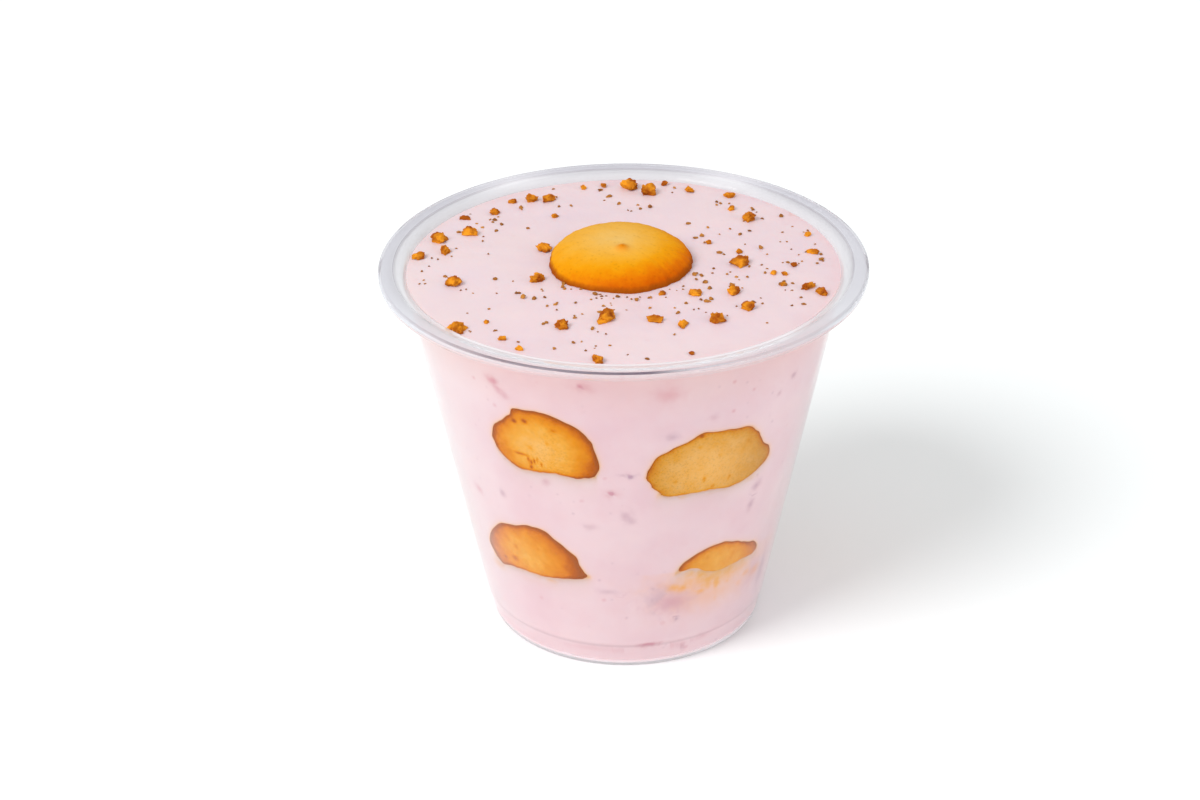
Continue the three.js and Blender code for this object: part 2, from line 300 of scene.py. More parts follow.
def clear_plastic():
    """Smooth clear plastic, faintly uneven from the mould, that lets the light of lamps through."""
    material, tree, shader, place = new_material("clear_plastic", 0.05)
    colour = CUP_TINT
    opaque = 0.0
    for name, tone, share in CUP_MARKS:
        there = kept(tree, name)
        colour = blend(tree, there, colour, tone)
        opaque = maths(tree, "MAXIMUM", opaque, maths(tree, "MULTIPLY", there, share))
    tree.links.new(colour, shader.inputs["Base Color"])
    tree.links.new(maths(tree, "SUBTRACT", 1.0, opaque), shader.inputs["Transmission Weight"])
    shader.inputs["IOR"].default_value = CUP_IOR
    roughen(tree, shader, node(tree, "TexNoise", Vector=place, Scale=90.0), 0.03, 0.4 * MM)
    path = node(tree, "LightPath").outputs
    lamp_or_bounce = maths(tree, "MAXIMUM", path["Is Shadow Ray"], path["Is Diffuse Ray"])
    through = node(tree, "BsdfTransparent", Color=LAMPLIGHT_TINT).outputs[0]
    mix = node(tree, "MixShader", i0=lamp_or_bounce, i1=shader.outputs[0], i2=through)
    tree.links.new(mix.outputs[0], tree.nodes["Material Output"].inputs["Surface"])
    return material


cup = spun("clear_cup", cup_profile(), CUP_STEPS)
mark_haze_and_painted_light(cup)
cup.data.materials.append(clear_plastic())
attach(cup, "root")
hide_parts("cup")


# Wafers against the wall: round vanilla wafers with a low domed face, gone soft in the pudding.
# Each leans outwards, so its upper part is pressed flat on the wall and shows bare, and its lower
# part stands off the wall under the pudding. The edge is uneven and browned, broken here and there.

# An edge is given as angles in degrees with radii in mm, and a cover, the line where the pudding
# begins to cover the face, as places across and heights in mm. Pale is the palest place, how baked
# it is, how fast the face browns away from it, and how fast painted shade darkens it away from it.
# Marks are dark spots, and stains are places under the cover where the wafer shows through: across,
# up, width, tall, strength.
WAFER_SHAPES = {
    "blunt": {
        "edge": [(2, 10.6), (21, 10.6), (37, 11.3), (52, 11.6), (66, 11.5), (83, 11.8), (99, 11.8),
                 (113, 12.2), (121, 11.1), (133, 10.8), (150, 11.3), (163, 11.2), (174, 10.5),
                 (200, 10.6), (270, 11.4), (330, 11.2), (352, 10.2)],
        "cover": [(-10.6, 1.5), (-10.2, 0.6), (-9.1, -0.5), (-7.2, -1.8), (-5.1, -2.5), (-2.8, -2.3),
                  (2.3, -1.7), (6.1, -2.2), (9.9, -1.5), (11, 1)],
        "pale": (-0.5, 3, 0.08, 0.95, 0.05),
        "low_line": 0.4,
        "marks": [(-4.8, 8.4, 1, 0.9, 0.8), (-2.7, 9, 1, 0.9, 0.85), (-4.6, 1, 2.6, 0.6, 0.7),
                  (-3.1, 0.2, 0.45, 1.3, 0.8), (-2.6, -0.4, 0.5, 1.2, 0.9), (-1.9, 0, 0.5, 1.3, 0.9),
                  (-1.2, 0.5, 0.4, 1.2, 0.7), (-0.5, -0.4, 0.5, 1, 0.8), (-2.7, -1.5, 0.7, 0.8, 0.9),
                  (-2.4, 3, 0.8, 0.8, 0.4), (1.1, 4.8, 0.7, 1, 0.35), (2.8, 8.1, 1.2, 0.4, 0.45)],
        "stains": [(2.8, -2.6, 6, 0.8, 0.3)],
    },
    "long": {
        "edge": [(8, 13.4), (19, 13.1), (30, 12.1), (38, 12.2), (50, 12.7), (61, 13.1), (76, 12.4),
                 (91, 12.5), (104, 13.4), (117, 12.9), (131, 13.4), (143, 14.2), (153, 13.9),
                 (162, 13.6), (169, 12.1), (178, 10.6), (200, 11.8), (270, 13.2), (340, 12.8)],
        "cover": [(-10.6, 0), (-8.3, -0.5), (-5.3, -0.5), (-0.9, -0.6), (4.1, -1.4), (7.2, -1.1),
                  (9.9, -0.1), (12, 1), (13.4, 2)],
        "pale": (-1.5, 4.5, 0.03, 0.25, 0.28),
        "low_line": 0.3,
        "marks": [(-3.4, 12.3, 0.9, 0.8, 0.8), (-3.5, 9.8, 0.7, 0.7, 0.35), (-2, 1.9, 0.5, 1.3, 0.6),
                  (3.3, 0.9, 0.5, 1.1, 0.6), (-0.1, -0.1, 0.7, 0.7, 0.5), (-7.5, 2.6, 0.6, 0.8, 0.4),
                  (6.5, 8.2, 0.5, 0.5, 0.35), (0.6, 6.8, 0.5, 0.6, 0.3)],
        "stains": [(3, -1.7, 9.5, 1.1, 0.4), (-5.8, -1.3, 2.6, 1.1, 0.6), (8.2, -1.3, 4.6, 2, 0.5),
                   (4.6, -1.7, 0.8, 0.9, 0.6)],
    },
    "pointed": {
        "edge": [(0, 11.6), (12, 12.1), (17, 11.4), (26, 11.2), (36, 11.8), (47, 11.6),
                 (60, 11.9), (72, 12.6), (84, 12.1), (102, 11), (123, 11.3), (136, 11.1),
                 (151, 11.3), (166, 11.7), (180, 10.6), (210, 11.4), (270, 12), (330, 11.8)],
        "cover": [(-10.6, 0), (-8.4, -1.1), (-4.7, 0), (-0.4, 0.3), (2.7, 0.4), (5.9, 0.9),
                  (9, 1.5), (11.6, 2.2)],
        "pale": (-0.8, 4.2, 0.3, 0.85, 0),
        "low_line": 0.3,
        "marks": [(-3.9, 2.1, 1.8, 1.4, 0.45), (-3, 5.4, 1, 1.2, 0.25), (2.2, 6.8, 0.6, 0.6, 0.3),
                  (-6.6, 1.2, 0.8, 0.8, 0.4)],
        "stains": [(3.8, -0.3, 3.2, 1.3, 0.6), (1.3, -0.5, 2, 0.9, 0.45), (-9.7, -2, 4.4, 2.6, 0.5),
                   (0, -1.4, 16, 3, 0.14)],
    },
    "sunk": {
        "edge": [(0, 10.8), (20, 10.2), (32, 10.5), (45, 10.3), (56, 9.7), (66, 9.7), (81, 10.2),
                 (96, 11.1), (110, 11.6), (123, 11.9), (136, 12.2), (146, 12), (170, 11.2),
                 (220, 11.2), (300, 11.2)],
        "cover": [(-10, 6.1), (-8.8, 6.6), (-7.2, 7), (-5.6, 6.6), (-4.2, 5.4), (-2.2, 4.5), (0, 4.3),
                  (2.3, 4.5), (4.8, 4.6), (7.7, 4.2), (9.5, 5)],
        "pale": (-1, 7, 0.3, 0.6, 0.08),
        "low_line": 0,
        "marks": [(6.5, 6.6, 0.6, 0.5, 0.3), (-4, 8.4, 0.5, 0.5, 0.25)],
        "stains": [(-5, 4.6, 3, 4.6, 0.97), (-3, 2.8, 2.6, 7, 0.97), (-1, 1.6, 2.4, 6.4, 0.97),
                   (1.8, 3.6, 3, 2.8, 0.95), (5, 3.8, 2.6, 2.2, 0.8), (-7.2, 5.4, 3, 2.6, 0.85),
                   (-10.1, 2.7, 3.6, 2.6, 0.9), (-8.4, 2.2, 3.4, 2.6, 0.9), (-4.4, 0.2, 3.2, 2.4, 0.85),
                   (6.9, -0.1, 2.8, 1.8, 0.8), (10, -1.1, 3.6, 2.4, 0.8), (1.6, 0.4, 2, 1.4, 0.65),
                   (-0.8, -2.6, 1.8, 2.4, 0.6), (5, -1.6, 2.4, 2, 0.55),
                   (-1, 3.4, 20, 7, 0.9), (-1, -0.6, 20, 8, 0.44)],
    },
}
RING_WAFERS = [
    {"node": "wafer_upper_1", "azimuth": -24.6, "height": 49, "shape": "blunt"},
    {"node": "wafer_upper_2", "azimuth": 26.8, "height": 43, "shape": "long"},
    {"node": "wafer_upper_3", "azimuth": 112, "height": 46.5, "shape": "pointed"},
    {"node": "wafer_upper_4", "azimuth": 180, "height": 48.5, "shape": "sunk"},
    {"node": "wafer_upper_5", "azimuth": 248, "height": 45, "shape": "blunt"},
    {"node": "wafer_lower_1", "azimuth": -35.8, "height": 20.5, "shape": "pointed"},
    {"node": "wafer_lower_2", "azimuth": 36.6, "height": 16.8, "shape": "sunk"},
    {"node": "wafer_lower_3", "azimuth": 111, "height": 20, "shape": "blunt"},
    {"node": "wafer_lower_4", "azimuth": 183, "height": 18.5, "shape": "pointed"},
    {"node": "wafer_lower_5", "azimuth": 255, "height": 20.5, "shape": "sunk"},
]
RING_DOME = {"height": 2.6 * MM, "power": 20, "base": 5 * MM}
WAFER_LEAN = math.radians(10)
INTO_WALL = 0.12 * MM
FACE_RINGS = 32
RING_WAFER_STEPS = 160
BROWNING_REACH = 12
EDGE_BROWNING = ((0.5, 0.35), (0.35, 1.2))
LOW_LINE_REACH = 0.3
DARKEST_PAINTED_SHADE = 0.3
SOAKED_FULLY_BAKED = 1.25
NICK_DEPTH = 0.012
FACE_UNEVENNESS = 0.03 * MM
SOAKED_TONES = [
    (0.0, (0.765, 0.40, 0.105, 1)), (0.24, (0.745, 0.335, 0.036, 1)), (0.44, (0.70, 0.245, 0.004, 1)),
    (0.64, (0.60, 0.16, 0.001, 1)), (0.8, (0.44, 0.095, 0.001, 1)), (1.0, (0.32, 0.075, 0.01, 1)),
]


def inner_radius(z):
    """Radius of the inside of the wall."""
    return wall_radius(z) - WALL_THICKNESS


def wafer_profile(dome, rings):
    """Half a wafer of radius 1 mm lying flat: back, side and domed face, widest at z = 0."""
    base = dome["base"]
    power = dome["power"]
    back = [(0, -1), (0.5, -1), (0.9, -1), (0.95, -0.93), (0.985, -0.65), (0.997, -0.3), (1, 0)]
    profile = [(MM * out, base * up) for out, up in back]
    turned_in = [math.cos(math.radians(angle)) ** (2 / power) for angle in range(6, 48, 6)]
    inward = [turned_in[-1] * (1 - i / rings) for i in range(1, rings + 1)]
    for out in turned_in + inward:
        profile.append((MM * out, dome["height"] * (1 - out**power) ** (1 / power)))
    return profile


def edge_radius(edge, angle):
    """Radius of an uneven edge at an angle in degrees, eased between the given ones."""
    turned = (angle - edge[0][0]) % 360 + edge[0][0]
    ring = [*edge, (edge[0][0] + 360, edge[0][1])]
    for (low, first), (high, last) in zip(ring, ring[1:]):
        if turned <= high:
            t = (turned - low) / (high - low)
            return first + (last - first) * t * t * (3 - 2 * t)
    return ring[-1][1]


def how_baked(shape, across, up, from_edge, above_cover):
    """How brown a spot on the face is, and how much painted shade darkens it: palest in one place,
    browner towards the edge, with marks."""
    pale_across, pale_up, base, browning, shade_growth = shape["pale"]
    away = (math.hypot(across - pale_across, up - pale_up) / BROWNING_REACH) ** 1.5
    level = base + browning * away
    for strength, reach in EDGE_BROWNING:
        level += strength * math.exp(-from_edge / reach)
    level += shape["low_line"] * math.exp(-max(above_cover, 0) / LOW_LINE_REACH)
    for a, b, width, tall, strength in shape["marks"]:
        far = math.hypot((across - a) / width, (up - b) / tall) * 2
        level += strength * math.exp(-(far**2))
    return level / SOAKED_FULLY_BAKED, min(shade_growth * away, DARKEST_PAINTED_SHADE)


def press_on_wall(piece, wafer):
    """Stands a flat wafer up on the wall: across it becomes along the wall, face up faces out."""
    shape = WAFER_SHAPES[wafer["shape"]]
    azimuth = math.radians(wafer["azimuth"])
    height = wafer["height"] * MM
    middle = inner_radius(height)
    cover_at, cover_up = np.array(shape["cover"]).T
    baked, painted_shade = [], []
    for vertex in piece.data.vertices:
        x, y, z = vertex.co
        angle = math.atan2(y, x)
        far = math.hypot(x, y) / MM
        radius = edge_radius(shape["edge"], math.degrees(angle))
        nicks = NICK_DEPTH * noise.noise(Vector((math.cos(angle), math.sin(angle), azimuth)) * 9)
        along = x * radius * (1 + nicks)
        up = y * radius * (1 + nicks)
        uneven = FACE_UNEVENNESS * noise.fractal(Vector((along, up, azimuth)) * 500, 0.7, 2, 3)
        cover = np.interp(along / MM, cover_at, cover_up) * MM
        leaning = RING_DOME["height"] - z - (up - cover) * math.tan(WAFER_LEAN)
        depth = max(leaning + uneven * (leaning < 0.3 * MM), 0)
        r = inner_radius(height + up) + INTO_WALL - depth
        turn = azimuth + along / middle
        vertex.co = (r * math.sin(turn), -r * math.cos(turn), height + up)
        from_edge = max(1 - far, 0) * radius
        level, shade_here = how_baked(shape, along / MM, up / MM, from_edge, (up - cover) / MM)
        baked.append(level)
        painted_shade.append(shade_here)
    keep_numbers(piece, "baked", baked)
    keep_numbers(piece, "painted_shade", painted_shade)


def tone_ramp(tree, level, tones):
    """A row of tones from pale to fully baked, read off by a level from 0 to 1."""
    made = node(tree, "ValToRGB", Fac=level)
    ramp = made.color_ramp
    ramp.elements[0].color = tones[0][1]
    ramp.elements[1].color = tones[-1][1]
    for position, colour in tones[1:-1]:
        ramp.elements.new(position).color = colour
    return made.outputs["Color"]


def soaked_wafer():
    """Soft baked wafer: pale gold, browner towards its edge and dark brown round it, finely pored, and
    darkened by painted shade away from its palest place.
    """
    material, tree, shader, place = new_material("soaked_wafer", 0.6)
    patchy = node(tree, "TexNoise", Vector=place, Scale=330.0, Detail=5.0, Roughness=0.7)
    uneven = ranged(tree, patchy.outputs["Fac"], 0.25, 0.75, -0.17, 0.17)
    tone = tone_ramp(tree, maths(tree, "ADD", kept(tree, "baked"), uneven), SOAKED_TONES)
    pores = node(tree, "TexVoronoi", Vector=place, Scale=1900.0)
    dark = ranged(tree, pores.outputs["Distance"], 0.1, 0.5, 0.86, 1.0)
    # Painted shade: the face is darkened away from its palest place.
    shade = maths(tree, "SUBTRACT", dark, kept(tree, "painted_shade"))
    tree.links.new(blend(tree, 1.0, tone, shade, "MULTIPLY"), shader.inputs["Base Color"])
    grain = node(tree, "TexNoise", Vector=place, Scale=1400.0, Detail=4.0)
    roughen(tree, shader, grain, 0.2, 0.3 * MM)
    shader.inputs["Specular IOR Level"].default_value = 0.05
    return material


soaked = soaked_wafer()
ring_wafers = []
for wafer in RING_WAFERS:
    piece = spun("soaked_" + wafer["node"], wafer_profile(RING_DOME, FACE_RINGS), RING_WAFER_STEPS)
    press_on_wall(piece, wafer)
    piece.data.materials.append(soaked)
    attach(piece, "root")
    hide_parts(wafer["node"])
    ring_wafers.append(piece)


# Wafer on top: the same kind of wafer, dry, lying face up and half sunk. Its dome is pale gold on
# top and browner down its side, with the small dark tip that the piped dough leaves.
TOP_DOME = {"height": 4.6 * MM, "power": 2.2, "base": 3 * MM}
TOP_RADIUS = 13.4
TOP_RINGS = 40
TOP_STEPS = 216
TOP_LUMPS = 0.16 * MM
TOP_NICKS = ((8, 0.3, 0.012), (19, 1.7, 0.014))
TOP_CENTRE = (-0.6 * MM, 0.6 * MM)
TOP_TILT = math.radians(2)
TIP_PLACE = (0.4 * MM, -3.1 * MM)
TIP_WIDTH = 1.1 * MM
TIP_HEIGHT = 0.7 * MM
DIMPLE_PLACE = (-1.8 * MM, -4.3 * MM)
DIMPLE_DEPTH = 0.2 * MM
PUDDING_EDGE_HEIGHT = 72.4 * MM
PUDDING_CROWN = 0.8 * MM
PUDDING_WAVE = 0.12 * MM
PUDDING_UNEVENNESS = 0.14 * MM
BAKED_TONES = [
    (0.0, (0.72, 0.45, 0.13, 1)), (0.22, (0.74, 0.40, 0.068, 1)), (0.45, (0.745, 0.355, 0.026, 1)),
    (0.62, (0.73, 0.295, 0.004, 1)), (0.74, (0.70, 0.235, 0.0012, 1)), (0.86, (0.645, 0.155, 0.001, 1)),
    (1.0, (0.53, 0.09, 0.0005, 1)),
]
# The dark ring round the top wafer's edge is partly baked brown and partly painted shade where it meets
# the pudding.
EDGE_BROWN_AND_SHADE = (0.34, 0.075, 0.003, 1)
BAKED_TIP = (0.66, 0.20, 0.002, 1)


def top_height(x, y):
    """Height of the pudding's top: a low crown with the slow waves that the spoon left."""
    r = math.hypot(x, y) / inner_radius(PUDDING_EDGE_HEIGHT)
    waves = math.sin(210 * x + 0.9) * math.cos(170 * y - 0.4) + 0.6 * math.sin(130 * x - 250 * y)
    level = PUDDING_EDGE_HEIGHT + PUDDING_CROWN * (1 - r * r)
    return level + PUDDING_WAVE * waves * max(1 - r**6, 0)


def bake_top_wafer(piece):
    """Makes the round dome uneven, raises its tip, and lays it in its place."""
    tip = Vector(TIP_PLACE)
    dimple = Vector(DIMPLE_PLACE)
    tilt = Matrix.Rotation(TOP_TILT, 3, "X")
    x0, y0 = TOP_CENTRE
    place = Vector((x0, y0, top_height(x0, y0)))
    rim, baked, tips = [], [], []
    for vertex in piece.data.vertices:
        x, y, z = vertex.co
        angle = math.atan2(y, x)
        far = math.hypot(x, y) / MM
        wavy = 1 + 0.012 * math.cos(3 * angle + 1) + 0.006 * math.cos(5 * angle - 0.5)
        nicks = 0
        for fineness, shift, depth in TOP_NICKS:
            nicks += depth * noise.noise(Vector((math.cos(angle), math.sin(angle), shift)) * fineness)
        radius = TOP_RADIUS * (wavy + nicks)
        x, y = x * radius, y * radius
        lumps = noise.fractal(Vector((x, y, z)) * 160, 0.8, 2, 3) * TOP_LUMPS
        near_tip = math.exp(-((Vector((x, y)) - tip).length / TIP_WIDTH) ** 2)
        near_dimple = math.exp(-((Vector((x, y)) - dimple).length / MM) ** 2)
        raised = lumps + near_tip * TIP_HEIGHT - near_dimple * DIMPLE_DEPTH
        on_face = max(z, 0) / TOP_DOME["height"]
        vertex.co = tilt @ Vector((x, y, z + on_face * raised)) + place
        rim.append(far if z > -0.5 * MM else 1)
        # Browner to the right and paler to the left: partly baked colour, partly painted shade and light,
        # the lamp being on the left.
        baked.append(far - 0.3 * y / (TOP_RADIUS * MM) + 0.2 * x / (TOP_RADIUS * MM))
        tips.append(near_tip if z > 0 else 0)
    keep_numbers(piece, "rim", rim)
    keep_numbers(piece, "baked", baked)
    keep_numbers(piece, "tip", tips)


def dry_wafer():
    """Dry baked wafer: pale gold to deep orange down its side, broken up by fine pores, with a dark
    ring round its edge and a darker right side, both partly painted shade.
    """
    material, tree, shader, place = new_material("dry_wafer", 0.6)
    patchy = node(tree, "TexNoise", Vector=place, Scale=300.0, Detail=5.0, Roughness=0.7)
    spread = maths(tree, "MULTIPLY_ADD", patchy.outputs["Fac"], 0.32, -0.16)
    level = maths(tree, "MULTIPLY_ADD", kept(tree, "baked"), 0.75, spread)
    tipped = blend(tree, kept(tree, "tip"), tone_ramp(tree, level, BAKED_TONES), BAKED_TIP)
    # Dark ring round the edge: baked brown and painted shade where the wafer meets the pudding.
    wander = maths(tree, "MULTIPLY_ADD", patchy.outputs["Fac"], 0.03, kept(tree, "rim"))
    outlined = blend(tree, ranged(tree, wander, 0.975, 1.01), tipped, EDGE_BROWN_AND_SHADE)
    pores = node(tree, "TexVoronoi", Vector=place, Scale=900.0)
    dark = ranged(tree, pores.outputs["Distance"], 0.08, 0.3, 0.88, 1.0)
    tree.links.new(blend(tree, 1.0, outlined, dark, "MULTIPLY"), shader.inputs["Base Color"])
    grain = node(tree, "TexNoise", Vector=place, Scale=1100.0, Detail=5.0)
    roughen(tree, shader, grain, 0.3, 0.4 * MM)
    shader.inputs["Specular IOR Level"].default_value = 0.02
    return material


top_wafer = spun("dry_top_wafer", wafer_profile(TOP_DOME, TOP_RINGS), TOP_STEPS)
bake_top_wafer(top_wafer)
top_wafer.data.materials.append(dry_wafer())
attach(top_wafer, "root")
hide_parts("wafer_top")


# Pudding: strawberry cream spooned in round the wafers, so that it fills the cup out to the wall
# and each wafer lies in a hollow of it. Bits of fruit show as specks and smears against the wall,
# and where it is thin over a wafer, the wafer shines through.
INTO_CUP = 0.08 * MM
PUDDING_STEPS = 360
SIDE_RING = 0.6 * MM
TOP_RING = 1.2 * MM
PUDDING_PALE = (0.727, 0.54, 0.56, 1)
PUDDING_ROSY = (0.68, 0.448, 0.487, 1)
# Painted light: the left of the side, towards the lamp, is paler.
PUDDING_LIT_LEFT = (0.746, 0.654, 0.643, 1)
PUDDING_FOOT = (0.80, 0.60, 0.62, 1)
# The top's paler tone is partly painted light, evening out how the top and the side are lit.
PUDDING_TOP = (0.745, 0.60, 0.62, 1)
TOP_LILAC = (0.70, 0.575, 0.645, 1)
UNDER_LIP_SHADE = (0.965, 0.88, 0.83, 1)
FOOT_LINE_SHADE = (0.52, 0.34, 0.37, 1)
FRUIT_PINK = (0.60, 0.24, 0.28, 1)
FRUIT_PURPLE = (0.46, 0.28, 0.35, 1)
VEILED_WAFER = (0.765, 0.335, 0.065, 1)
WARM_SEAM = (0.84, 0.56, 0.42, 1)
# Specks of fruit: how fine, how wide, how strong, and their tone.
FRUIT_SPECKS = ((260, 0.14, 0.55, FRUIT_PINK), (410, 0.16, 0.5, FRUIT_PURPLE), (150, 0.1, 0.4, FRUIT_PINK))
SOFTNESS = {"Weight": 0.3, "Radius": (1.0, 0.6, 0.5), "Scale": 1.5 * MM}
SHARP_PUDDING_EDGE = math.radians(35)
SMEAR_REACH = 0.2
FAR_OFF = 9
WAFER_REACH = 18
# Bits of fruit on the wall, with two darker purple-grey patches at 11.6 and 55 degrees: azimuth,
# then height, width and tall in mm, strength, how purple.
FRUIT_BITS = [
    (-37.0, 65.4, 2.4, 1.8, 0.6, 0.1), (-35.9, 64.0, 1.6, 2.4, 0.4, 0.2),
    (-34.1, 62.7, 1.4, 1.6, 0.35, 0.3), (-11.4, 67.9, 3.0, 1.6, 0.45, 0.2),
    (-11.8, 68.0, 1.2, 0.8, 0.75, 0.3), (-24.8, 44.7, 1.8, 1.6, 0.35, 0.3),
    (-42.8, 38.4, 1.3, 1.6, 0.45, 0.9), (-55.4, 36.0, 2.0, 1.6, 0.4, 0.2),
    (-4.6, 43.5, 2.4, 1.6, 0.45, 0.0), (-4.6, 43.6, 0.9, 0.8, 1.0, 0.4),
    (1.0, 47.6, 1.0, 0.9, 0.9, 1.0), (0.0, 48.0, 2.6, 0.8, 0.45, 0.8),
    (10.8, 65.9, 5.0, 2.8, 0.35, 0.0), (12.6, 56.2, 2.4, 1.6, 0.4, 0.9),
    (24.2, 59.1, 1.6, 1.2, 0.25, 0.6), (45.1, 38.8, 1.8, 1.8, 0.55, 0.8),
    (44.1, 34.5, 1.6, 2.2, 0.5, 0.8), (-0.5, 38.3, 1.8, 1.8, 0.4, 0.8),
    (1.2, 37.0, 1.4, 1.4, 0.35, 0.9), (-11.9, 35.3, 2.6, 1.2, 0.3, 0.8),
    (-7.0, 19.4, 3.0, 1.2, 0.3, 0.9), (51.9, 61.8, 1.4, 1.4, 0.55, 0.8),
    (46.8, 59.3, 1.2, 1.2, 0.35, 0.6), (18.9, 11.4, 0.9, 0.9, 0.6, 0.9),
    (8.4, 5.7, 3.4, 0.8, 0.95, 0.3), (23.6, 2.4, 1.2, 0.9, 0.6, 1.0),
    (16.7, 15.9, 7.0, 4.4, 0.5, 0.35), (11.6, 16.8, 4.4, 6.0, 0.42, 0.9),
    (63.0, 14.0, 3.0, 8.0, 0.45, 0.9), (55.0, 16.0, 3.4, 6.5, 0.3, 0.5),
    (-16.0, 4.2, 10, 1.6, 0.22, 0.0), (14.0, 4.4, 12, 1.6, 0.3, 0.0),
    (33.0, 5.0, 5.0, 1.6, 0.25, 0.2),
]
# Crumbs pressed on the wall: azimuth, height, width, tall, strength.
PRESSED_CRUMBS = [(-9.6, 71.2, 1.6, 0.8, 0.8), (-5.2, 71.2, 0.9, 0.7, 0.6)]


def pudding_profile():
    """The bottom and the trough of the foot, the side in rings, and the top in rings."""
    inset = WALL_THICKNESS - INTO_CUP
    profile = cup_inside(inset, 4)[::-1]
    low = profile[-1][1]
    high = PUDDING_EDGE_HEIGHT - 0.1 * MM
    rings = round((high - low) / SIDE_RING)
    heights = [low + (high - low) * i / rings for i in range(1, rings + 1)]
    profile += [(wall_radius(z) - inset, z) for z in heights]
    edge = wall_radius(PUDDING_EDGE_HEIGHT) - inset
    rings = round(edge / TOP_RING)
    profile += [(edge * (1 - i / rings), PUDDING_EDGE_HEIGHT) for i in range(rings + 1)]
    return profile


def spread_top(piece):
    """Lays the top in its crown and waves, with a fine unevenness that ends at the wall."""
    level = PUDDING_EDGE_HEIGHT - 0.05 * MM
    for vertex in piece.data.vertices:
        if vertex.co.z > level:
            x, y = vertex.co.xy
            fine = noise.fractal(Vector((x, y, 0)) * 120, 0.9, 2, 3) * PUDDING_UNEVENNESS
            towards_wall = math.hypot(x, y) / inner_radius(PUDDING_EDGE_HEIGHT)
            vertex.co.z = top_height(x, y) + fine * max(1 - towards_wall**16, 0)


def cut_round(piece, fillings):
    """Cuts the hollows in which the fillings lie."""
    held = bpy.data.collections.new("fillings")
    bpy.context.scene.collection.children.link(held)
    for filling in fillings:
        held.objects.link(filling)
    bpy.ops.object.select_all(action="DESELECT")
    bpy.context.view_layer.objects.active = piece
    cut = piece.modifiers.new("hollows", "BOOLEAN")
    cut.operation = "DIFFERENCE"
    cut.operand_type = "COLLECTION"
    cut.collection = held
    cut.solver = "MANIFOLD"
    bpy.ops.object.modifier_apply(modifier="hollows")
    for filling in fillings:
        held.objects.unlink(filling)
    bpy.data.collections.remove(held)


def wall_place(piece):
    """For each vertex: its azimuth in degrees from the front, its height, and if it is on the wall."""
    spots = np.empty(len(piece.data.vertices) * 3)
    piece.data.vertices.foreach_get("co", spots)
    x, y, z = spots.reshape(-1, 3).T
    azimuth = np.degrees(np.arctan2(x, -y))
    r = np.hypot(x, y)
    on_wall = (np.abs(r - inner_radius(z)) < 0.5 * MM) | (z < FOOT_LINE_HEIGHT)
    return azimuth, z, r, on_wall


def keep_vectors(piece, name, values):
    """Keeps three numbers for each vertex, for the material to read."""
    places = piece.data.attributes.new(name, "FLOAT_VECTOR", "POINT").data
    places.foreach_set("vector", np.stack(values, 1).ravel())


def paint_fruit(piece):
    """The nearest bit of fruit on the wall: the way to its middle in half widths, its strength, and
    how purple it is instead of pink."""
    azimuth, height, r, on_wall = wall_place(piece)
    nearest, upward, strength, purple = np.zeros((4, len(azimuth)))
    across = np.full(len(azimuth), FAR_OFF, dtype=float)
    for turn, high, width, tall, strong, purpled in FRUIT_BITS:
        along = np.radians(azimuth - turn) * r / (width / 2 * MM)
        up = (height - high * MM) / (tall / 2 * MM)
        here = strong * np.exp(-(along**2 + up**2) / 4)
        better = on_wall & (here > nearest)
        nearest = np.where(better, here, nearest)
        across = np.where(better, along, across)
        upward = np.where(better, up, upward)
        strength = np.where(better, strong * (here > SMEAR_REACH * strong), strength)
        purple = np.where(better, purpled, purple)
    across = np.clip(across, -FAR_OFF, FAR_OFF)
    upward = np.clip(upward, -FAR_OFF, FAR_OFF)
    keep_vectors(piece, "fruit", [across, upward, strength])
    keep_numbers(piece, "purple", purple)


def paint_veil(piece):
    """Where the wafers show through the pudding: how strongly in stains, the distance in mm from a
    bare face, and the distance below the line where the pudding begins to cover it."""
    azimuth, height, r, on_wall = wall_place(piece)
    ragged = np.array([noise.fractal(v.co * 500, 0.8, 2, 3) for v in piece.data.vertices])
    veil = np.zeros(len(azimuth))
    from_bare = np.full(len(azimuth), FAR_OFF, dtype=float)
    from_cover = np.full(len(azimuth), FAR_OFF, dtype=float)
    turns = np.arange(361)
    for wafer in RING_WAFERS:
        shape = WAFER_SHAPES[wafer["shape"]]
        turn = (azimuth - wafer["azimuth"] + 180) % 360 - 180
        along = np.radians(turn) * inner_radius(wafer["height"] * MM) / MM
        up = height / MM - wafer["height"]
        below = np.interp(along, *np.array(shape["cover"]).T) - up
        edge = np.array([edge_radius(shape["edge"], turn) for turn in turns])
        radius = np.interp(np.degrees(np.arctan2(up, along)) % 360, turns, edge)
        past_edge = np.maximum(np.hypot(along, up) - radius, 0)
        past_cover = np.maximum(below, 0)
        near = on_wall & (np.abs(along) < WAFER_REACH) & (np.abs(up) < WAFER_REACH)
        from_bare = np.where(near, np.minimum(from_bare, np.hypot(past_edge, past_cover)), from_bare)
        lower = past_cover + 3 * past_edge
        from_cover = np.where(near, np.minimum(from_cover, lower), from_cover)
        for across, above, width, tall, strength in shape["stains"]:
            far = np.hypot((along - across) / width * 2, (up - above) / tall * 2)
            seen = strength * np.exp(-((far * (1 + 0.25 * ragged)) ** 2)) * on_wall * (below > -0.6)
            veil = np.maximum(veil, seen)
    for turn, high, width, tall, strength in PRESSED_CRUMBS:
        far = np.hypot(np.radians(azimuth - turn) * r / MM / width * 2, (height / MM - high) / tall * 2)
        veil = np.maximum(veil, strength * np.exp(-(far**2)) * on_wall)
    keep_numbers(piece, "veil", veil)
    keep_numbers(piece, "from_bare", from_bare)
    keep_numbers(piece, "from_cover", from_cover)


def fading(tree, distance, start, reach):
    """A strength that is start at no distance and fades to a third of it at each reach, in mm."""
    left = maths(tree, "EXPONENT", maths(tree, "MULTIPLY", distance, -1 / reach))
    return maths(tree, "MULTIPLY", left, start)


